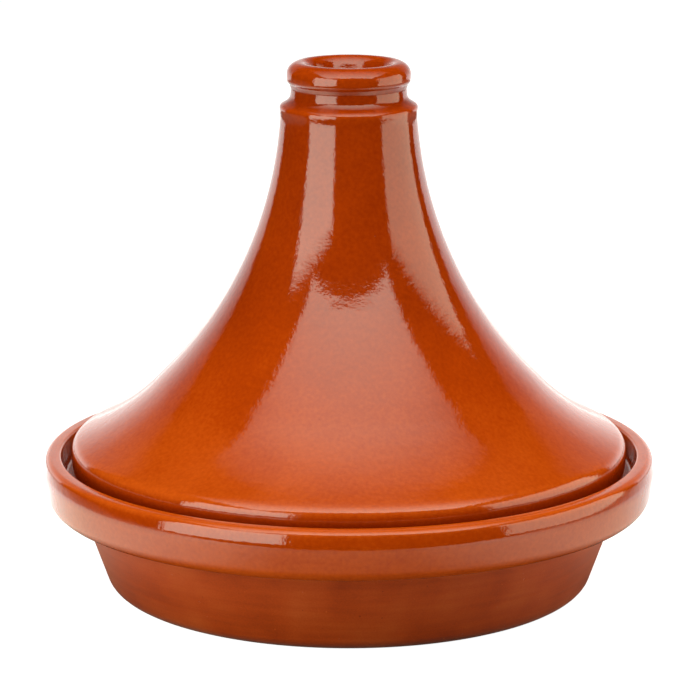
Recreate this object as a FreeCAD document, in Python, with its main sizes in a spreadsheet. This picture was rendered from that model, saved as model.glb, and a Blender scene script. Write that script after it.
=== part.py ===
import FreeCAD, Part
import math
import os

import Sketcher

# Tagine pot in glazed earthenware, all sizes in millimetres.
#
# A round clay dish carries a conical clay lid, whose lip stands on a ledge inside the dish's rim.
# Both are turned on a wheel, so every piece is one revolved outline. +Z is up, and the origin is
# the centre of the flat base. Three fused coats of glaze cover the clay: one on the dish, from
# the floor of the dish over the rim and down its collar; one on the outside of the lid; and one
# on the inside of the lid. The dish's lower wall and base, and the lid's seat, are bare clay.

# Driving sizes of the bare clay: alias, value, what it measures.
SIZES = [
    ("glaze_thickness", 0.5, "coat of glaze on top of the clay"),
    ("bare_seat", 2.0, "bare clay above the lid's seat, inside and outside"),
    # Dish, outside
    ("base_radius", 117.4, "where the wall's line meets the base"),
    ("heel_round", 8.9, "rounded heel between base and wall"),
    ("wall_top_radius", 132.4, "top of the lower wall"),
    ("collar_underside", 42.1, "height of the collar's underside"),
    ("collar_root_round", 2.0, "inner corner between wall and collar"),
    ("collar_foot_radius", 147.0, "lower edge of the collar"),
    ("collar_foot_round", 6.3, "rounding of the collar's lower edge"),
    ("collar_radius", 149.5, "widest line of the collar"),
    ("collar_height", 59.2, "height of that line"),
    ("collar_round", 9.0, "turn from the collar in to the rim"),
    ("rim_height", 66.1, "top of the rim"),
    ("rim_outer_radius", 148.2, "outer edge of the rim"),
    ("rim_outer_round", 2.8, "rounding of the rim's outer edge"),
    ("rim_inner_radius", 141.6, "inner edge of the rim"),
    ("rim_inner_round", 1.0, "rounding of the rim's inner edge"),
    # Dish, inside
    ("ledge_radius", 140.3, "outer end of the ledge that the lid stands on"),
    ("ledge_height", 54.5, "height of the ledge"),
    ("ledge_round", 3.0, "inner corner between ledge and rim"),
    ("mouth_radius", 127.0, "inner edge of the ledge"),
    ("mouth_round", 2.0, "rounding of the ledge's inner edge"),
    ("floor_radius", 112.6, "where the inner wall's line meets the floor"),
    ("floor_thickness", 9.0, "clay under the floor of the dish"),
    ("floor_round", 14.5, "inner corner between floor and wall"),
    ("dish_glaze_end", 139.5, "radius on the collar's underside where the glaze stops"),
    # Knob on top of the lid
    ("cup_radius", 15.5, "floor of the hollow in the knob"),
    ("cup_floor", 245.0, "height of that floor"),
    ("cup_round", 7.5, "corner at the foot of the hollow"),
    ("crest_radius", 20.5, "inner edge of the knob's ring"),
    ("crest_round", 4.0, "rounding of that edge"),
    ("knob_height", 257.6, "top of the knob"),
    ("ring_radius", 29.7, "outside of the knob's ring"),
    ("ring_round", 5.8, "upper shoulder of the ring"),
    ("ring_lower_height", 249.2, "height of the ring's lower edge"),
    ("ring_lower_round", 2.7, "rounding of that edge"),
    ("ring_foot_radius", 28.5, "small bevel under the ring"),
    ("ring_foot_height", 247.9, "lower end of the bevel"),
    ("ring_foot_round", 1.3, "inner corner under the bevel"),
    ("groove_radius", 27.7, "finger groove under the ring"),
    ("groove_height", 245.6, "height at which the groove is deepest"),
    ("groove_round", 2.0, "bottom of the groove"),
    ("cove_radius", 28.1, "lower end of the groove"),
    ("cove_height", 240.1, "height of that end"),
    ("cove_round", 5.0, "hollow curve out to the shoulder"),
    ("shoulder_radius", 33.2, "shoulder where the neck begins"),
    ("shoulder_height", 236.8, "height of the shoulder"),
    ("shoulder_round", 2.1, "rounding of the shoulder"),
    ("waist_radius", 32.9, "slight waist under the shoulder"),
    ("waist_height", 231.5, "height of the waist"),
    ("waist_round", 20.5, "long hollow curve at the waist"),
    # Lid, outside
    ("flare_radius", 38.6, "where the lines of neck and cone meet"),
    ("flare_height", 156.8, "height of that corner"),
    ("flare_round", 199.5, "long hollow sweep from neck to cone"),
    ("skirt_radius", 109.2, "where the lines of cone and skirt meet"),
    ("skirt_height", 85.4, "height of that corner"),
    ("skirt_round", 115.5, "hollow sweep from cone to skirt"),
    ("lip_radius", 135.5, "outside of the lid's lip"),
    ("lip_height", 71.9, "where the lines of skirt and lip meet"),
    ("lip_round", 6.0, "rolled top edge of the lip"),
    ("seat_round", 1.2, "edges of the lid's seat"),
    # Lid, inside
    ("wall_thickness", 8.0, "clay wall of the lid"),
    ("inner_lip_height", 67.0, "where the inner lines of skirt and lip meet"),
    ("inner_lip_round", 5.0, "inner corner behind the lip"),
    ("inner_skirt_radius", 104.4, "inner corner of cone and skirt"),
    ("inner_skirt_height", 78.9, "height of that corner"),
    ("inner_flare_radius", 35.5, "inner corner of neck and cone"),
    ("inner_flare_height", 148.7, "height of that corner"),
    ("crown_radius", 23.9, "top of the hollow neck"),
    ("crown_height", 231.0, "height of that top"),
    ("crown_round", 12.0, "domed top of the hollow neck"),
]
VALUE = {alias: value for alias, value, note in SIZES}

AXIS = ""  # an outline's corner that lies on the axis of the wheel
SHARP = ""  # a corner with no rounding
SEAT = "ledge_height + glaze_thickness"
GLAZE_LINE = SEAT + " + bare_seat"
INNER_LIP = "lip_radius - wall_thickness"

# Outlines as corners: radius, height, rounding. Each is a sum of sizes.
DISH_OUTSIDE = [
    (AXIS, "", SHARP),
    ("base_radius", "", "heel_round"),
    ("wall_top_radius", "collar_underside", "collar_root_round"),
]
DISH_GLAZED = [
    ("collar_foot_radius", "collar_underside", "collar_foot_round"),
    ("collar_radius", "collar_height", "collar_round"),
    ("rim_outer_radius", "rim_height", "rim_outer_round"),
    ("rim_inner_radius", "rim_height", "rim_inner_round"),
    ("ledge_radius", "ledge_height", "ledge_round"),
    ("mouth_radius", "ledge_height", "mouth_round"),
    ("floor_radius", "floor_thickness", "floor_round"),
    (AXIS, "floor_thickness", SHARP),
]
DISH_GLAZE_END = [("dish_glaze_end", "collar_underside", SHARP)]

LID_OUTSIDE = [
    (AXIS, "cup_floor", SHARP),
    ("cup_radius", "cup_floor", "cup_round"),
    ("crest_radius", "knob_height", "crest_round"),
    ("ring_radius", "knob_height", "ring_round"),
    ("ring_radius", "ring_lower_height", "ring_lower_round"),
    ("ring_foot_radius", "ring_foot_height", "ring_foot_round"),
    ("groove_radius", "groove_height", "groove_round"),
    ("cove_radius", "cove_height", "cove_round"),
    ("shoulder_radius", "shoulder_height", "shoulder_round"),
    ("waist_radius", "waist_height", "waist_round"),
    ("flare_radius", "flare_height", "flare_round"),
    ("skirt_radius", "skirt_height", "skirt_round"),
    ("lip_radius", "lip_height", "lip_round"),
]
LID_SEAT = [
    ("lip_radius", SEAT, "seat_round"),
    (INNER_LIP, SEAT, "seat_round"),
]
LID_INSIDE = [
    (INNER_LIP, "inner_lip_height", "inner_lip_round"),
    ("inner_skirt_radius", "inner_skirt_height", "skirt_round + wall_thickness"),
    ("inner_flare_radius", "inner_flare_height", "flare_round + wall_thickness"),
    ("crown_radius", "crown_height", "crown_round"),
    (AXIS, "crown_height", SHARP),
]
LID_GLAZE_END = [("lip_radius", GLAZE_LINE, SHARP)]
LID_LINING_END = [(INNER_LIP, GLAZE_LINE, SHARP)]

START, END, CENTRE = 1, 2, 3  # the points of a sketch segment
ORIGIN, UPRIGHT = -1, -2  # a sketch's own origin and vertical axis


def number(text):
    """The value of a sum of sizes, such as 'lip_radius - wall_thickness'."""
    total = 0.0
    sign = 1
    for word in text.split():
        if word in ("+", "-"):
            sign = 1 if word == "+" else -1
        else:
            total += sign * VALUE[word]
    return total


def formula(text):
    """The same sum as an expression that reads the spreadsheet."""
    words = [word if word in ("+", "-") else "Sizes." + word for word in text.split()]
    return " ".join(words)


def add_sheet(doc):
    """The spreadsheet that holds every driving size under its alias."""
    sheet = doc.addObject("Spreadsheet::Sheet", "Sizes")
    for row, (alias, value, note) in enumerate(SIZES, start=1):
        sheet.set("A%d" % row, note)
        sheet.set("B%d" % row, str(value))
        sheet.setAlias("B%d" % row, alias)
    doc.recompute()
    return sheet


class Chain:
    """Straight segments joined by tangent arcs, in the order in which the outline runs."""

    def __init__(self, sketch):
        self.sketch = sketch
        self.segments = []  # (index, start point, end point, is it an arc, does it turn left)

    def add_line(self, first, last):
        index = self.sketch.addGeometry(Part.LineSegment(first, last), False)
        self.segments.append((index, START, END, False, False))

    def add_arc(self, centre, first, last, turns_left):
        """An arc runs anticlockwise in a sketch, so one that turns right is drawn backwards."""
        radius = (first - centre).Length
        low, high = (first, last) if turns_left else (last, first)
        angles = [math.atan2(point.y - centre.y, point.x - centre.x) for point in (low, high)]
        if angles[1] < angles[0]:
            angles[1] += 2 * math.pi
        circle = Part.Circle(centre, FreeCAD.Vector(0, 0, 1), radius)
        index = self.sketch.addGeometry(Part.ArcOfCircle(circle, *angles), False)
        ends = (START, END) if turns_left else (END, START)
        self.segments.append((index, ends[0], ends[1], True, turns_left))

    def end(self, which):
        """The free point of the first segment (which is 0) or of the last one (which is -1)."""
        segment = self.segments[which]
        return segment[0], segment[1] if which == 0 else segment[2]

    def join_tangent(self):
        """Each segment leaves the one before it without a corner."""
        for before, after in zip(self.segments[:-1], self.segments[1:]):
            joint = (before[0], before[2], after[0], after[1])
            self.sketch.addConstraint(Sketcher.Constraint("Tangent", *joint))


def bind(sketch, constraint, text):
    """Add a dimension and let the spreadsheet drive it."""
    index = sketch.addConstraint(constraint)
    sketch.setExpression("Constraints[%d]" % index, formula(text))


def place(sketch, point, radius, height):
    """Hold a point at a radius from the axis and a height above the base."""
    if radius == AXIS and height == "":
        sketch.addConstraint(Sketcher.Constraint("Coincident", *point, ORIGIN, START))
        return
    if radius == AXIS:
        sketch.addConstraint(Sketcher.Constraint("PointOnObject", *point, UPRIGHT))
    else:
        across = Sketcher.Constraint("DistanceX", ORIGIN, START, *point, number(radius))
        bind(sketch, across, radius)
    if height == "":
        sketch.addConstraint(Sketcher.Constraint("PointOnObject", *point, ORIGIN))
    else:
        upward = Sketcher.Constraint("DistanceY", ORIGIN, START, *point, number(height))
        bind(sketch, upward, height)


def draw_outline(sketch, corners):
    """Draw lines from corner to corner, rounding every corner between the first and the last."""
    points = [FreeCAD.Vector(number(radius), number(height), 0) for radius, height, _ in corners]
    chain = Chain(sketch)
    begin = points[0]
    for index in range(1, len(points) - 1):
        corner = points[index]
        back = (points[index - 1] - corner).normalize()
        ahead = (points[index + 1] - corner).normalize()
        half_angle = back.getAngle(ahead) / 2
        rounding = number(corners[index][2])
        reach = rounding / math.tan(half_angle)
        centre = corner + (back + ahead).normalize() * (rounding / math.sin(half_angle))
        turns_left = back.cross(ahead).z < 0
        touch = corner + back * reach
        if (touch - begin).dot(back) >= 0:
            raise RuntimeError("the rounding does not fit: " + corners[index][2])
        chain.add_line(begin, touch)
        begin = corner + ahead * reach
        chain.add_arc(centre, touch, begin, turns_left)
    chain.add_line(begin, points[-1])
    chain.join_tangent()

    for index in range(1, len(points) - 1):
        radius, height, rounding = corners[index]
        line_before = chain.segments[2 * index - 2][0]
        arc = chain.segments[2 * index - 1][0]
        line_after = chain.segments[2 * index][0]
        bind(sketch, Sketcher.Constraint("Radius", arc, number(rounding)), rounding)
        corner = sketch.addGeometry(Part.Point(points[index]), True)
        for line in (line_before, line_after):
            sketch.addConstraint(Sketcher.Constraint("PointOnObject", corner, START, line))
        place(sketch, (corner, START), radius, height)
    for which in (0, -1):
        place(sketch, chain.end(which), *corners[which][:2])
    return chain


def draw_coat(sketch, corners):
    """Draw a clay surface that meets the axis at one end, and the glaze's surface on its left."""
    clay = draw_outline(sketch, corners)
    coat = Chain(sketch)
    thickness = VALUE["glaze_thickness"]
    for index, first, last, is_arc, turns_left in clay.segments:
        geometry = sketch.Geometry[index]
        ends = [sketch.getPoint(index, first), sketch.getPoint(index, last)]
        if is_arc:
            centre = geometry.Center
            grow = -thickness if turns_left else thickness
            ends = [centre + (end - centre) * (1 + grow / geometry.Radius) for end in ends]
            coat.add_arc(centre, ends[0], ends[1], turns_left)
        else:
            along = (ends[1] - ends[0]).normalize()
            left = FreeCAD.Vector(-along.y, along.x, 0) * thickness
            coat.add_line(ends[0] + left, ends[1] + left)
    coat.join_tangent()

    roundings = [corner[2] for corner in corners[1:-1]]
    arcs = zip(clay.segments[1::2], coat.segments[1::2], roundings)
    for clay_arc, coat_arc, rounding in arcs:
        centres = (clay_arc[0], CENTRE, coat_arc[0], CENTRE)
        sketch.addConstraint(Sketcher.Constraint("Coincident", *centres))
        text = rounding + (" - " if clay_arc[4] else " + ") + "glaze_thickness"
        bind(sketch, Sketcher.Constraint("Radius", coat_arc[0], number(text)), text)
    for which in (0, -1):
        lines = (clay.segments[which][0], coat.segments[which][0])
        sketch.addConstraint(Sketcher.Constraint("Parallel", *lines))
        edge = close_gap(sketch, clay.end(which), coat.end(which))
        if corners[which][0] == AXIS:
            on_axis = (*coat.end(which), UPRIGHT)
            sketch.addConstraint(Sketcher.Constraint("PointOnObject", *on_axis))
        else:
            square = (edge, clay.segments[which][0])
            sketch.addConstraint(Sketcher.Constraint("Perpendicular", *square))


def close_gap(sketch, first, last):
    """A straight segment from one point of the sketch to another."""
    ends = (sketch.getPoint(*first), sketch.getPoint(*last))
    index = sketch.addGeometry(Part.LineSegment(*ends), False)
    sketch.addConstraint(Sketcher.Constraint("Coincident", index, START, *first))
    sketch.addConstraint(Sketcher.Constraint("Coincident", index, END, *last))
    return index


def draw_clay(sketch, corners):
    """Draw a closed outline that starts and ends on the axis."""
    chain = draw_outline(sketch, corners)
    close_gap(sketch, chain.end(-1), chain.end(0))


def turned_piece(doc, name, draw, corners):
    """A body made by turning one outline once round the upright axis."""
    body = doc.addObject("PartDesign::Body", name)
    body.Label = name
    sketch = body.newObject("Sketcher::SketchObject", name + "_outline")
    plane = [item for item in body.Origin.OriginFeatures if item.Role == "XZ_Plane"][0]
    sketch.AttachmentSupport = [(plane, "")]
    sketch.MapMode = "FlatFace"
    draw(sketch, corners)
    doc.recompute()
    if sketch.solve() != 0 or not sketch.FullyConstrained:
        raise RuntimeError(name + ": the outline is not fully constrained")
    turning = body.newObject("PartDesign::Revolution", name + "_turning")
    turning.Profile = sketch
    turning.ReferenceAxis = (sketch, ["V_Axis"])
    turning.Angle = 360
    sketch.Visibility = False
    body.Tip = turning
    body.Placement = FreeCAD.Placement()
    return body


def check(doc, bodies):
    """Stop before writing if any object failed or any piece is not one sound solid."""
    for item in doc.Objects:
        if "Invalid" in item.State or "Error" in item.State:
            raise RuntimeError(item.Label + ": " + ", ".join(item.State))
    for body in bodies:
        shape = body.Shape
        if shape.isNull() or not shape.isValid() or len(shape.Solids) != 1:
            raise RuntimeError(body.Label + ": not one valid solid")


def main():
    doc = FreeCAD.newDocument("Tagine")
    add_sheet(doc)
    bodies = [
        turned_piece(doc, "dish_body", draw_clay, DISH_OUTSIDE + DISH_GLAZED),
        turned_piece(doc, "dish_glaze", draw_coat, DISH_GLAZED[::-1] + DISH_GLAZE_END),
        turned_piece(doc, "lid_body", draw_clay, LID_OUTSIDE + LID_SEAT + LID_INSIDE),
        turned_piece(doc, "lid_glaze", draw_coat, LID_OUTSIDE + LID_GLAZE_END),
        turned_piece(doc, "lid_lining", draw_coat, LID_LINING_END + LID_INSIDE),
    ]
    doc.recompute()
    check(doc, bodies)
    os.makedirs("parts", exist_ok=True)
    for body in bodies:
        body.Shape.exportStep("parts/" + body.Label + ".step")
        print("%-12s %10.1f mm3" % (body.Label, body.Shape.Volume))


main()
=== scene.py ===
import math

import bpy
import numpy as np
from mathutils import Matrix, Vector


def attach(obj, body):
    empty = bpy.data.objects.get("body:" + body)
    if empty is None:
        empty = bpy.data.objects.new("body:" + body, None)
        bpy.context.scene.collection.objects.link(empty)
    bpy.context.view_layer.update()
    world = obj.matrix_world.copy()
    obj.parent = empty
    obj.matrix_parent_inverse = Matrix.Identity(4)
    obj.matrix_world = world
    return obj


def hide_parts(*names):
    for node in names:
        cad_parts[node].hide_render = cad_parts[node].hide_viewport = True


# Tagine pot: the looks. Both fired pieces and their three coats of glaze are turned again here as
# fine meshes, with the slight unevenness of thrown ware, on the outlines of the CAD pieces that
# they replace. Outlines, reliefs and the sizes of patterns are in millimetres, all else in metres.

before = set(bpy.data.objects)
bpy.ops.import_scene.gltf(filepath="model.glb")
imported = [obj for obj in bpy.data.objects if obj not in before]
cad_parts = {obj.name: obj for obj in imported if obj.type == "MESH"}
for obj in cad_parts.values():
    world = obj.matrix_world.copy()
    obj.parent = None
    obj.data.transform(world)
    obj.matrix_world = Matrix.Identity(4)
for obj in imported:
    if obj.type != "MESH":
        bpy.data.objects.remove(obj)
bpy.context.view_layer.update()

MM = 0.001
TURN = 2 * math.pi

# ---- Outlines of the bare clay: radius, height, rounding of each corner, with the air on the left ----

AXIS = 0.0  # a corner on the axis of the wheel
SHARP = 0.0  # a corner with no rounding
BASE = 0.0
DISH_FLOOR = 9.0
UNDERSIDE = 42.1  # of the dish's collar
LEDGE = 54.5
SEAT = 55.0  # where the lid stands on the glazed ledge
RIM = 66.1
CROWN = 231.0  # top of the hollow inside the lid
CUP = 245.0  # floor of the knob's cup
CREST = 257.6  # top of the knob
LIP_OUT, LIP_IN = 135.5, 127.5  # faces of the lid's lip
DISH_LINE = (139.5, UNDERSIDE, SHARP)  # the glaze lines: beyond them the clay is bare
LID_LINE = (LIP_OUT, 57.0, SHARP)
LINING_LINE = (LIP_IN, 57.0, SHARP)

DISH = [
    (AXIS, DISH_FLOOR, SHARP),
    (112.6, DISH_FLOOR, 14.5),  # where the floor turns up into the wall
    (127.0, LEDGE, 2.0),
    (140.3, LEDGE, 3.0),
    (141.6, RIM, 1.0),
    (148.2, RIM, 2.8),
    (149.5, 59.2, 9.0),  # widest part of the collar
    (147.0, UNDERSIDE, 6.3),
    DISH_LINE,
    (132.4, UNDERSIDE, 2.0),  # the collar meets the lower wall
    (117.4, BASE, 8.9),  # heel
    (AXIS, BASE, SHARP),
]
LID = [
    (AXIS, CUP, SHARP),
    (15.5, CUP, 7.5),
    (20.5, CREST, 4.0),
    (29.7, CREST, 5.8),  # the knob's ring
    (29.7, 249.2, 2.7),
    (28.5, 247.9, 1.3),
    (27.7, 245.6, 2.0),  # finger groove
    (28.1, 240.1, 5.0),
    (33.2, 236.8, 2.1),  # shoulder
    (32.9, 231.5, 20.5),
    (38.6, 156.8, 199.5),  # the neck flares
    (109.2, 85.4, 115.5),  # the cone
    (LIP_OUT, 71.9, 6.0),
    LID_LINE,
    (LIP_OUT, SEAT, 1.2),
    (LIP_IN, SEAT, 1.2),
    LINING_LINE,
    (LIP_IN, 67.0, 5.0),
    (104.4, 78.9, 123.5),
    (35.5, 148.7, 207.5),
    (23.9, CROWN, 12.0),
    (AXIS, CROWN, SHARP),
]

# ---- Fineness and unevenness of the turned meshes, in mm ----

SEGMENTS = 270  # round the wheel
RUN_STEP = 2.2  # longest step along an outline
ARC_STEP = math.radians(9)  # widest step round a corner
SHARP_ANGLE = math.radians(50)  # edges sharper than this aren't smoothed over
FINE_STEP = 0.25  # longest step near a glaze line
FINE_REACH = 2.6
COAT = 0.5  # thickness of the glaze
GLAZE_EDGE = 0.9  # length over which a coat rounds off at its glaze line
GLAZE_WANDER = 1.2  # how far the glaze line wanders
WANDER_COUNTS = (3, 5, 8, 13, 21)  # waves round the wheel that the wandering is made of
BITE = 0.05  # how deep a coat is fused into the clay
BURIED = -0.03  # level of a coat's skin beyond its glaze line, just inside the clay
RING_PITCH = 7.5  # spacing of the finger marks left by throwing
RING_FADE = 31  # the marks come and go along the outline over this distance
RING_HEIGHT = 0.014
WOBBLE = 0.12  # how far the ware is out of round
# Waves round the wheel that put it out of round: count, share, phase, and phase gained per mm of outline
OVALS = [(2, 1.0, 0.0, 1 / 170), (3, 0.5, 1.7, 0.0), (5, 0.3, 0.0, 1 / 60)]
HOLD = 9.0  # unevenness dies out over this distance from a seat, the foot or the axis
POOL_REACH = 1.5  # distance over which fired glaze levels itself
POOL_GAIN = 0.8  # mm; how strongly glaze leaves an edge and gathers in a hollow
EVEN_POOL = 0.5  # how deep the glaze looks where the clay is flat, from 0 to 1


def rounded(corners):
    """Points along straight runs joined by tangent arcs."""
    points = [Vector(corners[0][:2])]
    for before, here, after in zip(corners, corners[1:], corners[2:]):
        corner, rounding = Vector(here[:2]), here[2]
        if rounding == SHARP:
            points.append(corner)
            continue
        back = (Vector(before[:2]) - corner).normalized()
        ahead = (Vector(after[:2]) - corner).normalized()
        half = back.angle(ahead) / 2
        middle = (back + ahead).normalized()
        centre = corner + middle * rounding / math.sin(half)
        sweep = math.pi - 2 * half
        side = 1 if back.x * ahead.y - back.y * ahead.x < 0 else -1
        steps = max(2, math.ceil(sweep / ARC_STEP), math.ceil(sweep * rounding / RUN_STEP))
        for step in range(steps + 1):
            angle = side * (step / steps - 0.5) * sweep
            across, along = math.cos(angle), math.sin(angle)
            points.append(centre - rounding * Vector((middle.x * across - middle.y * along,
                                                      middle.x * along + middle.y * across)))
    points.append(Vector(corners[-1][:2]))
    return points


def divided(points, longest):
    """The same points with every run longer than longest(first, last) divided."""
    dense = [points[0]]
    for last, point in zip(points, points[1:]):
        count = max(1, math.ceil((point - last).length / longest(last, point) - 0.01))
        dense += [last.lerp(point, step / count) for step in range(1, count + 1)]
    return dense


class Profile:
    """A piece's whole clay outline, from axis to axis, in mm."""

    def __init__(self, corners, still_heights, glaze_lines):
        lines = [Vector(line[:2]) for line in glaze_lines]

        def longest(last, point):
            gap = min(((last + point) / 2 - line).length for line in lines)
            return FINE_STEP if gap < FINE_REACH else RUN_STEP

        points = divided(divided(rounded(corners), lambda last, point: RUN_STEP), longest)
        self.points = np.array([point[:] for point in points])
        ahead = np.diff(self.points, axis=0)
        length = np.hypot(*ahead.T)
        ahead /= length[:, None]
        mean = np.vstack([ahead[:1], ahead[:-1] + ahead[1:], ahead[-1:]])
        mean /= np.hypot(*mean.T)[:, None]
        self.normals = np.column_stack([-mean[:, 1], mean[:, 0]])
        self.run = np.concatenate([[0.0], np.cumsum(length)])
        bend = np.concatenate([[0.0], ahead[:-1, 1] * ahead[1:, 0] - ahead[:-1, 0] * ahead[1:, 1], [0.0]])
        self.pool = EVEN_POOL - POOL_GAIN * self.levelled(bend)
        self.calm = np.clip(self.points[:, 0] / HOLD, 0, 1)
        for height in still_heights:
            self.calm *= np.clip(abs(self.points[:, 1] - height) / HOLD, 0, 1)

    def levelled(self, turn):
        """Bend in 1/mm, from the turn at each point, spread over POOL_REACH."""
        gaps = (self.run[:, None] - self.run[None, :]) / POOL_REACH
        weights = np.exp(-0.5 * gaps**2) / (POOL_REACH * math.sqrt(TURN))
        return weights @ turn

    def index(self, corner):
        """The point at a corner that isn't rounded."""
        return int(np.argmin(np.hypot(*(self.points - corner[:2]).T)))

    def raised(self, level, picked=slice(None)):
        """Rings of (radius, height) round the wheel, at a level above the clay's uneven skin."""
        angle = np.arange(SEGMENTS) * TURN / SEGMENTS
        run = self.run[picked, None]
        marks = np.sin(TURN * run / RING_PITCH + angle) * np.sin(run / RING_FADE + 2 * angle)
        waves = (share * np.sin(count * angle + phase + run * lag) for count, share, phase, lag in OVALS)
        oval = sum(waves) / sum(share for count, share, phase, lag in OVALS)
        uneven = RING_HEIGHT * (marks - 1) + WOBBLE * (oval - 1) / 2
        rise = level + self.calm[picked, None] * uneven
        return self.points[picked, None] + rise[..., None] * self.normals[picked, None]


def coat_level(profile, picked, line):
    """Level of a coat's skin above the clay: even, then rounding off at a wandering glaze line."""
    angle = np.arange(SEGMENTS) * TURN / SEGMENTS
    wander = sum(np.sin(count * angle + 2.1 * count) / count for count in WANDER_COUNTS)
    wander = (wander - wander.min()) / (wander.max() - wander.min()) * GLAZE_WANDER
    inside = abs(profile.run[picked, None] - profile.run[line]) - wander
    share = np.clip(inside / GLAZE_EDGE, 0, 1)
    return np.where(inside > 0, COAT * np.sqrt(1 - (1 - share) ** 2), BURIED)


def turned_mesh(name, rings, pool):
    """A closed mesh of revolution from rings that start and end on the axis."""
    angle = np.arange(SEGMENTS) * TURN / SEGMENTS
    body = rings[1:-1]
    places = np.stack([body[..., 0] * np.cos(angle), body[..., 0] * np.sin(angle), body[..., 1]], axis=-1)
    poles = [(0, 0, rings[end][:, 1].mean()) for end in (0, -1)]
    vertices = np.vstack([poles[:1], places.reshape(-1, 3), poles[1:]]) * MM
    here = 1 + np.arange(SEGMENTS)
    there = 1 + (np.arange(SEGMENTS) + 1) % SEGMENTS
    rows = np.arange(len(body) - 1)[:, None] * SEGMENTS
    quads = np.stack([here + rows, here + rows + SEGMENTS, there + rows + SEGMENTS, there + rows], axis=-1)
    last_row = (len(body) - 1) * SEGMENTS
    first_fan = [(0, int(a), int(b)) for a, b in zip(here, there)]
    last_fan = [(len(vertices) - 1, int(b), int(a)) for a, b in zip(here + last_row, there + last_row)]
    mesh = bpy.data.meshes.new(name)
    mesh.from_pydata(vertices.tolist(), [], first_fan + quads.reshape(-1, 4).tolist() + last_fan)
    mesh.shade_smooth()
    mesh.set_sharp_from_angle(angle=SHARP_ANGLE)
    values = np.concatenate([pool[:1], np.repeat(pool[1:-1], SEGMENTS), pool[-1:]])
    mesh.attributes.new("pool", "FLOAT", "POINT").data.foreach_set("value", values.astype(np.float32))
    piece = bpy.data.objects.new(name, mesh)
    bpy.context.scene.collection.objects.link(piece)
    return piece


def make_ware(name, profile):
    """The clay, bare and under its glaze."""
    return turned_mesh(name, profile.raised(0.0), profile.pool)


def make_coat(name, profile, picked, line):
    """A coat of glaze over the picked stretch of a profile, fused into the clay under it."""
    skin = profile.raised(coat_level(profile, picked, line), picked)
    foot = profile.raised(-BITE, picked)
    pool = profile.pool[picked]
    if picked.start == 0:
        rings, pools = [skin, foot[::-1]], [pool, pool[::-1]]
    else:
        rings, pools = [foot[::-1], skin], [pool[::-1], pool]
    return turned_mesh(name, np.concatenate(rings), np.concatenate(pools))


# ---- Materials ----

GLAZE_THIN = (0.62, 0.092, 0.0060, 1)  # over an edge, where the coat is thinnest; painted light also moves the glaze towards it
GLAZE_BODY = (0.45, 0.049, 0.0012, 1)
GLAZE_POOL = (0.28, 0.024, 0.0008, 1)  # gathered in a hollow; painted shade also moves the glaze towards it
GLAZE_SPECK = (0.07, 0.010, 0.001, 1)
CLAY_PALE = (0.66, 0.110, 0.012, 1)
CLAY_BODY = (0.57, 0.070, 0.002, 1)
CLAY_DARK = (0.40, 0.042, 0.001, 1)

# Where painted shade and painted light go into the glaze's colour, and how strong they are there. Each span
# is in metres.
LIP_BEGINS, LIP_ENDS = (0.120, 0.130), (0.1365, 0.1385)  # radii of the lid's lip
LIP_SHADE_HEIGHTS, LIP_SHADE_STRENGTH = (0.060, 0.0715), 1.3  # heights of painted shade in the gap over the rim, darkest at the lower one
COLLAR_FACE, COLLAR_SHOULDER = (0.1462, 0.1480), (0.0565, 0.0595)  # radii and heights where a band of painted shade begins
COLLAR_SHADE_END, COLLAR_SHADE_STRENGTH = (0.0640, 0.0660), 0.28  # heights over which the band of painted shade ends
LIGHT_TO_SHADE_HEIGHTS, PAINTED_LIGHT_AND_SHADE = (0.08, 0.15), (-0.20, 0.22)  # heights; painted light on all glaze below the lower one, painted shade above the higher one

NOISE_SPAN = (0.3, 0.7)  # where most of a noise's values lie
GRAIN_SPAN = (0.25, 0.75)  # the same for the glaze's fine grain
SPOT_EDGE = 0.15  # share of a spot's size over which it fades out
CLOUD_TONE = 0.28  # how far the clay's clouds shift its tone


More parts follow.
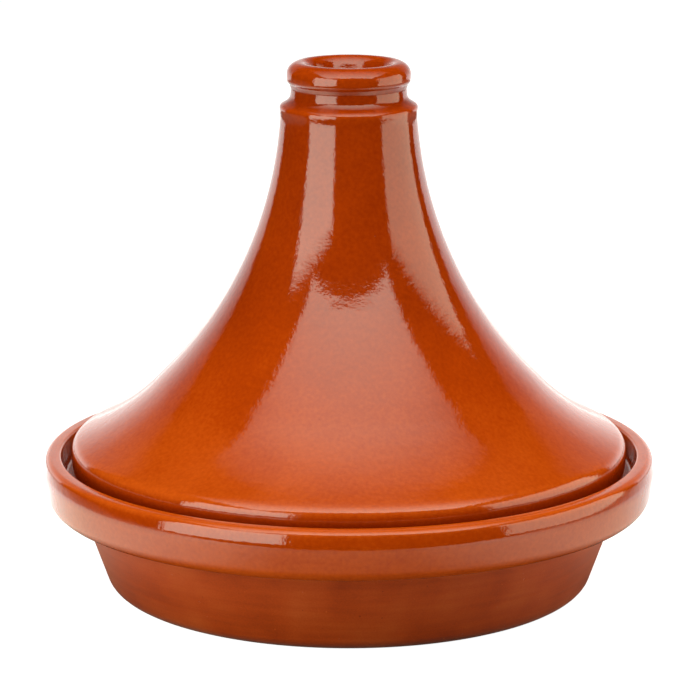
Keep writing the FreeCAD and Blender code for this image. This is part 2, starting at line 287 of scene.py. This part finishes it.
class Shader:
    """Builds a node tree. Inputs are given by name, as a number, a colour or another node's output."""

    def __init__(self, owner, output):
        owner.use_nodes = True
        self.tree = owner.node_tree
        self.tree.nodes.clear()
        self.output = self.tree.nodes.new(output)

    def add(self, kind, settings=None, **inputs):
        node = self.tree.nodes.new("ShaderNode" + kind)
        for key, value in (settings or {}).items():
            setattr(node, key, value)
        for key, value in inputs.items():
            self.feed(node.inputs[key.replace("_", " ")], value)
        return node

    def feed(self, socket, value):
        if isinstance(value, bpy.types.NodeSocket):
            self.tree.links.new(value, socket)
        else:
            socket.default_value = value

    def stretched(self, where, scale):
        return self.add("Mapping", Vector=where, Scale=scale).outputs["Vector"]

    def length(self, vector):
        return self.add("VectorMath", {"operation": "LENGTH"}, Vector=vector).outputs["Value"]

    def noise(self, where, size, detail, stretch=(1, 1, 1)):
        """Smooth noise from 0 to 1 with features of about this size, in mm."""
        place = self.stretched(where, stretch)
        return self.add("TexNoise", Vector=place, Scale=1 / (size * MM), Detail=detail).outputs["Fac"]

    def fitted(self, value, low, high, to_low=0.0, to_high=1.0):
        node = self.add("MapRange", Value=value, From_Min=low, From_Max=high, To_Min=to_low, To_Max=to_high)
        return node.outputs["Result"]

    def maths(self, operation, first, second):
        node = self.add("Math", {"operation": operation})
        self.feed(node.inputs[0], first)
        self.feed(node.inputs[1], second)
        return node.outputs[0]

    def ramp(self, value, stops):
        """A smooth blend through (position, colour) stops."""
        node = self.add("ValToRGB", Fac=value)
        elements = node.color_ramp.elements
        while len(elements) < len(stops):
            elements.new(0.5)
        for element, (position, colour) in zip(elements, stops):
            element.position, element.color = position, colour
        return node.outputs["Color"]

    def blend(self, share, first, second):
        """From one colour to another."""
        node = self.add("Mix", {"data_type": "RGBA"})
        for index, value in ((0, share), (6, first), (7, second)):
            self.feed(node.inputs[index], value)
        return node.outputs[2]

    def spots(self, where, spacing, share, size):
        """1 in round spots, in this share of the cells of a grid with this spacing, in mm."""
        cells = self.add("TexVoronoi", Vector=where, Scale=1 / (spacing * MM))
        chance = self.add("SeparateColor", Color=cells.outputs["Color"]).outputs["Red"]
        reach = self.fitted(chance, 1 - share, 1, 0, size / spacing)
        inside = self.maths("SUBTRACT", reach, cells.outputs["Distance"])
        return self.fitted(inside, 0, SPOT_EDGE * size / spacing)

    def bump(self, height, depth, normal=None):
        """Relief of this depth, in mm."""
        node = self.add("Bump", Height=height, Distance=depth * MM)
        if normal is not None:
            self.feed(node.inputs["Normal"], normal)
        return node.outputs["Normal"]

    def pits(self, where, spacing, share, size, depth, normal):
        """Round pits of this depth, in mm, sunk into another relief."""
        surface = self.maths("SUBTRACT", 1, self.spots(where, spacing, share, size))
        return self.bump(surface, depth, normal)


def new_material(name):
    material = bpy.data.materials.new(name)
    return material, Shader(material, "ShaderNodeOutputMaterial")


def painted_light_and_shade(shader, where):
    """Painted shade and painted light put into the glaze's depth: painted shade down the lid's lip in
    the gap over the rim, in a band round the top of the collar and high on the pot; painted light low on
    it."""
    height = shader.add("SeparateXYZ", Vector=where).outputs["Z"]
    radius = shader.length(shader.stretched(where, (1, 1, 0)))
    on_lip = shader.maths("MULTIPLY", shader.fitted(radius, *LIP_BEGINS),
                          shader.fitted(radius, *LIP_ENDS, 1, 0))
    # painted shade on the lip's face, in the gap over the rim
    lip_shade = shader.maths("MULTIPLY", on_lip, shader.fitted(height, *LIP_SHADE_HEIGHTS, LIP_SHADE_STRENGTH, 0))
    on_collar = shader.maths("MULTIPLY", shader.fitted(radius, *COLLAR_FACE),
                             shader.fitted(height, *COLLAR_SHOULDER))
    # painted shade in a band round the top of the collar
    collar_shade = shader.maths("MULTIPLY", on_collar, shader.fitted(height, *COLLAR_SHADE_END, COLLAR_SHADE_STRENGTH, 0))
    # painted light on the glaze low down and painted shade high up, by height alone
    height_light_and_shade = shader.fitted(height, *LIGHT_TO_SHADE_HEIGHTS, *PAINTED_LIGHT_AND_SHADE)
    return shader.maths("ADD", shader.maths("ADD", collar_shade, height_light_and_shade), lip_shade)


def glaze_material():
    """Clear honey glaze over red clay: paler on edges, darker in hollows, with painted shade and painted
    light by height and on the lip and collar, orange peel and specks.
    """
    material, shader = new_material("honey_glaze")
    where = shader.add("TexCoord").outputs["Object"]
    pool = shader.add("Attribute", {"attribute_name": "pool"}).outputs["Fac"]
    cloud = shader.fitted(shader.noise(where, size=38, detail=3), *NOISE_SPAN, -0.10, 0.10)
    grain = shader.fitted(shader.noise(where, size=1.9, detail=3), *GRAIN_SPAN, -0.13, 0.13)
    # the glaze's depth from pooling and mottling, plus painted shade and painted light
    depth = shader.maths("ADD", shader.maths("ADD", pool, painted_light_and_shade(shader, where)),
                         shader.maths("ADD", cloud, grain))
    colour = shader.ramp(depth, [(0.05, GLAZE_THIN), (0.5, GLAZE_BODY), (0.98, GLAZE_POOL)])
    specks = shader.spots(where, spacing=9, share=0.16, size=0.42)
    colour = shader.blend(specks, colour, GLAZE_SPECK)
    waves = shader.bump(shader.noise(where, size=9, detail=1), depth=0.08)
    ripples = shader.bump(shader.noise(where, size=3.2, detail=1), depth=0.045, normal=waves)
    peel = shader.bump(shader.noise(where, size=1.3, detail=2), depth=0.040, normal=ripples)
    pinholes = shader.pits(where, spacing=13, share=0.2, size=0.5, depth=0.08, normal=peel)
    roughness = shader.fitted(shader.noise(where, size=21, detail=3), *NOISE_SPAN, 0.045, 0.085)
    surface = shader.add("BsdfPrincipled", Base_Color=colour, Roughness=roughness, IOR=1.68,
                         Normal=pinholes)
    shader.feed(shader.output.inputs["Surface"], surface.outputs["BSDF"])
    return material


def clay_material():
    """Bare red clay: mottled, with turning streaks round the wheel, grog and small pits."""
    material, shader = new_material("red_clay")
    where = shader.add("TexCoord").outputs["Object"]
    cloud = shader.fitted(shader.noise(where, size=30, detail=4), *NOISE_SPAN, -CLOUD_TONE, CLOUD_TONE)
    streaks = shader.noise(where, size=60, detail=4, stretch=(1, 1, 18))
    grain = shader.noise(where, size=0.8, detail=3)
    tone = shader.maths("ADD", cloud, shader.fitted(streaks, *NOISE_SPAN, 0.35, 0.65))
    tone = shader.maths("ADD", tone, shader.fitted(grain, *NOISE_SPAN, -0.12, 0.12))
    colour = shader.ramp(tone, [(0.0, CLAY_DARK), (0.5, CLAY_BODY), (1.0, CLAY_PALE)])
    pale_grog = shader.spots(where, spacing=3.4, share=0.3, size=0.5)
    dark_grog = shader.spots(where, spacing=5.2, share=0.2, size=0.6)
    colour = shader.blend(pale_grog, colour, CLAY_PALE)
    colour = shader.blend(dark_grog, colour, CLAY_DARK)
    turned = shader.bump(streaks, depth=0.12)
    grit = shader.bump(grain, depth=0.035, normal=turned)
    pitted = shader.pits(where, spacing=4.1, share=0.25, size=0.6, depth=0.12, normal=grit)
    roughness = shader.fitted(cloud, -CLOUD_TONE, CLOUD_TONE, 0.40, 0.52)
    surface = shader.add("BsdfPrincipled", Base_Color=colour, Roughness=roughness, IOR=1.45,
                         Normal=pitted, Sheen_Weight=0.3, Sheen_Roughness=0.4)
    shader.feed(shader.output.inputs["Surface"], surface.outputs["BSDF"])
    return material


# ---- The pieces ----

dish = Profile(DISH, [BASE, LEDGE], [DISH_LINE])
lid = Profile(LID, [SEAT], [LID_LINE, LINING_LINE])
dish_line, lid_line, lining_line = dish.index(DISH_LINE), lid.index(LID_LINE), lid.index(LINING_LINE)
over_dish, over_lid = slice(0, dish_line + 1), slice(0, lid_line + 1)
inside_lid = slice(lining_line, len(lid.run))

MATERIALS = {"clay": clay_material(), "glaze": glaze_material()}
PIECES = [
    (make_ware("dish_ware", dish), "dish_body", "dish", "clay"),
    (make_coat("dish_coat", dish, over_dish, dish_line), "dish_glaze", "dish", "glaze"),
    (make_ware("lid_ware", lid), "lid_body", "lid", "clay"),
    (make_coat("lid_coat", lid, over_lid, lid_line), "lid_glaze", "lid", "glaze"),
    (make_coat("lid_inner_coat", lid, inside_lid, lining_line), "lid_lining", "lid", "glaze"),
]
for piece, node, body, slot in PIECES:
    piece.data.materials.append(MATERIALS[slot])
    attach(piece, body)
    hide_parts(node)

# ---- Studio: pale floor, soft boxes left, right and overhead, pale wall behind ----

FLOOR_REACH = 5.0
FLOOR_GLOW = 0.97
FLOOR_TINT = (0.8, 0.8, 0.8, 1)
CARD_EDGE = -0.29  # front edge of the two cards
CARD_DROP = 0.001  # how far each card lies under the sheet above it
CARD_TINT = (0.76, 0.75, 0.71, 1)
CARD_SHADE = (0.08, 0.07, 0.06, 1)  # a card in the pot's shade
BOUNCE_SHADE = (0.13, 0.225)  # radii over which the pot's shade on the bounce card ends

# The floor as the glaze reflects it. Each span is where something sets in or dies out.
MIRROR_SHADE = (0.175, 0.255)  # radii over which the pot's shade ends
SHADE_SQUEEZE = 1.35  # the shade is this much narrower than it is deep
POOL_START, POOL_FULL = 0.07, 0.20  # distances to the side between which the side boxes' pools begin
POOL_END = (0.34, 0.52)  # radii over which they end
BACK_START = (0.08, 0.30)  # distances behind over which the back wall's pool begins
BACK_SIDE = (0.40, 0.70)  # distances to the side over which it ends
WHITE_START = (0.0, 0.12)  # distances behind over which warm pools turn white
LEFT_POOL, RIGHT_POOL, BACK_POOL = 1.4, 0.85, 0.9

LIGHT_TINT = (1.0, 0.99, 0.82, 1)
WARM_TINT = (1.0, 0.89, 0.65, 1)
POOL_TINT = (1.0, 0.93, 0.74, 1)
WALL_TINT = (1.0, 1.0, 0.98, 1)
WHITE = (1.0, 1.0, 1.0, 1)
MIRROR_HEIGHT = 0.15  # height on the pot from which the boxes' tops were set


def lay_paper(shader, tint, glow, glow_tint):
    """Gives a material the surface of matte paper that may glow."""
    surface = shader.add("BsdfPrincipled", Base_Color=tint, Roughness=1.0, Specular_IOR_Level=0.0,
                         Emission_Color=glow_tint, Emission_Strength=glow)
    shader.feed(shader.output.inputs["Surface"], surface.outputs["BSDF"])


def pale_paper():
    """Plain paper that glows a little."""
    material, shader = new_material("pale_floor")
    lay_paper(shader, FLOOR_TINT, FLOOR_GLOW, WHITE)
    return material


def shaded_paper():
    """Paper that is darker close to the pot."""
    material, shader = new_material("shaded_paper")
    where = shader.add("TexCoord").outputs["Object"]
    share = shader.fitted(shader.length(where), *BOUNCE_SHADE)
    lay_paper(shader, shader.blend(share, CARD_SHADE, CARD_TINT), 0.0, WHITE)
    return material


def mirrored_paper():
    """The floor as the glaze reflects it: dark in the pot's shade, with pools of light round that."""
    material, shader = new_material("mirrored_paper")
    where = shader.add("TexCoord").outputs["Object"]
    place = shader.add("SeparateXYZ", Vector=where).outputs
    shade_reach = shader.length(shader.stretched(where, (SHADE_SQUEEZE, 1, 1)))
    open_floor = shader.fitted(shade_reach, *MIRROR_SHADE)
    near = shader.maths("MULTIPLY", open_floor, shader.fitted(shader.length(where), *POOL_END, 1, 0))
    left = shader.fitted(place["X"], -POOL_START, -POOL_FULL, 0, LEFT_POOL)
    right = shader.fitted(place["X"], POOL_START, POOL_FULL, 0, RIGHT_POOL)
    beside = shader.maths("MULTIPLY", near, shader.maths("ADD", left, right))
    aside = shader.maths("ABSOLUTE", place["X"], 0)
    behind = shader.maths("MULTIPLY", shader.fitted(place["Y"], *BACK_START, 0, BACK_POOL),
                          shader.fitted(aside, *BACK_SIDE, 1, 0))
    glow = shader.maths("ADD", beside, behind)
    glow_tint = shader.blend(shader.fitted(place["Y"], *WHITE_START), POOL_TINT, WHITE)
    lay_paper(shader, shader.blend(open_floor, CARD_SHADE, CARD_TINT), glow, glow_tint)
    return material


def make_sheet(name, front, height, material):
    """A level sheet from y = front to the back of the studio."""
    mesh = bpy.data.meshes.new(name)
    corners = [(-FLOOR_REACH, front, height), (FLOOR_REACH, front, height),
               (FLOOR_REACH, FLOOR_REACH, height), (-FLOOR_REACH, FLOOR_REACH, height)]
    mesh.from_pydata(corners, [], [(0, 1, 2, 3)])
    mesh.materials.append(material)
    sheet = bpy.data.objects.new(name, mesh)
    bpy.context.scene.collection.objects.link(sheet)
    return sheet


def make_box(name, place, aim, width, height, radiance, fade, tint=LIGHT_TINT):
    """A soft box that the camera doesn't see. fade lists (place up its height, strength) from 0 to 1."""
    light = bpy.data.lights.new(name, "AREA")
    light.shape = "RECTANGLE"
    light.size, light.size_y = width, height
    light.energy = radiance * math.pi * width * height
    shader = Shader(light, "ShaderNodeOutputLight")
    across = shader.add("NewGeometry").outputs["Parametric"]
    up = shader.add("SeparateXYZ", Vector=across).outputs["Y"]
    strength = shader.ramp(up, [(share, (level, level, level, 1)) for share, level in fade])
    glow = shader.add("Emission", Color=tint, Strength=strength)
    shader.feed(shader.output.inputs["Surface"], glow.outputs["Emission"])
    box = bpy.data.objects.new(name, light)
    bpy.context.scene.collection.objects.link(box)
    box.location = place
    box.rotation_mode = "QUATERNION"
    box.rotation_quaternion = Vector(aim).to_track_quat("-Z", "Y")
    box.visible_camera = False
    return box


def upright_box(name, azimuth, distance, first, last, rise, radiance, fade, tint=LIGHT_TINT):
    """A box on the floor that faces the pot. Azimuth 0 is in front and 90 on the right; first and
    last are its side edges and rise its top above MIRROR_HEIGHT, as shares of the distance."""
    angle = math.radians(azimuth)
    away = Vector((math.sin(angle), -math.cos(angle), 0))
    along = Vector((math.cos(angle), math.sin(angle), 0))
    top = MIRROR_HEIGHT + rise * distance
    place = away * distance + along * distance * (first + last) / 2 + Vector((0, 0, top / 2))
    make_box(name, place, -away, distance * (last - first), top, radiance, fade, tint)


# The camera sees the floor, the bounce card lights the pot, and the glaze reflects the mirror card.
floor = make_sheet("floor", -FLOOR_REACH, 0.0, pale_paper())
floor.visible_glossy = floor.visible_diffuse = floor.visible_shadow = False
bounce_card = make_sheet("bounce_card", CARD_EDGE, -CARD_DROP, shaded_paper())
bounce_card.visible_camera = bounce_card.visible_glossy = bounce_card.visible_shadow = False
mirror_card = make_sheet("mirror_card", CARD_EDGE, -2 * CARD_DROP, mirrored_paper())
mirror_card.visible_camera = mirror_card.visible_diffuse = mirror_card.visible_shadow = False

EVEN = [(0.0, 1.0), (1.0, 1.0)]
SIDE_FADE = [(0.86, 1.0), (1.0, 0.35)]
BACK_FADE = [(0.12, 1.0), (0.37, 0.45), (0.54, 0.18), (1.0, 0.0)]
OVERHEAD_FADE = [(0.0, 1.0), (0.39, 0.60), (0.69, 0.23), (0.92, 0.08), (1.0, 0.03)]
upright_box("left_box", azimuth=-60, distance=1.0, first=-0.10, last=0.79, rise=0.63,
            radiance=3.35, fade=SIDE_FADE)
upright_box("right_box", azimuth=86, distance=0.9, first=-0.60, last=0.54, rise=0.56,
            radiance=2.1, fade=SIDE_FADE, tint=WARM_TINT)
upright_box("back_wall", azimuth=180, distance=1.2, first=-1.2, last=1.2, rise=0.95,
            radiance=1.4, fade=BACK_FADE, tint=WALL_TINT)

OVERHEAD_FRONT = Vector((0.056, -0.77, 0.82))  # middles of the overhead box's front and back edges
OVERHEAD_BACK = Vector((0.056, 0.36, 1.18))
slope = OVERHEAD_BACK - OVERHEAD_FRONT
make_box("overhead_box", (OVERHEAD_FRONT + OVERHEAD_BACK) / 2, Vector((1, 0, 0)).cross(-slope),
         width=1.47, height=slope.length, radiance=2.95, fade=OVERHEAD_FADE)

# Light from above and behind, which the glaze doesn't reflect.
fill_box = make_box("fill_box", (0, 0.35, 1.2), Vector((0, 0, -1)),
                    width=1.6, height=0.9, radiance=1.65, fade=EVEN)
fill_box.visible_glossy = False

world = bpy.data.worlds.new("white_surround")
bpy.context.scene.world = world
surround = Shader(world, "ShaderNodeOutputWorld")
background = surround.add("Background", Color=WHITE, Strength=1.0)
surround.feed(surround.output.inputs["Surface"], background.outputs["Background"])
world.cycles_visibility.diffuse = False
world.cycles_visibility.glossy = False
bpy.context.scene.view_settings.view_transform = "Standard"

# ---- Camera ----

CAMERA_PLACE = (0.0006, -1.5991, 0.4907)
CAMERA_PITCH = 13.19  # degrees below the horizon
LENS = 172.7  # mm

camera_data = bpy.data.cameras.new("camera")
camera_data.lens = LENS
camera = bpy.data.objects.new("camera", camera_data)
bpy.context.scene.collection.objects.link(camera)
camera.location = CAMERA_PLACE
camera.rotation_euler = (math.radians(90 - CAMERA_PITCH), 0, 0)
bpy.context.scene.camera = camera
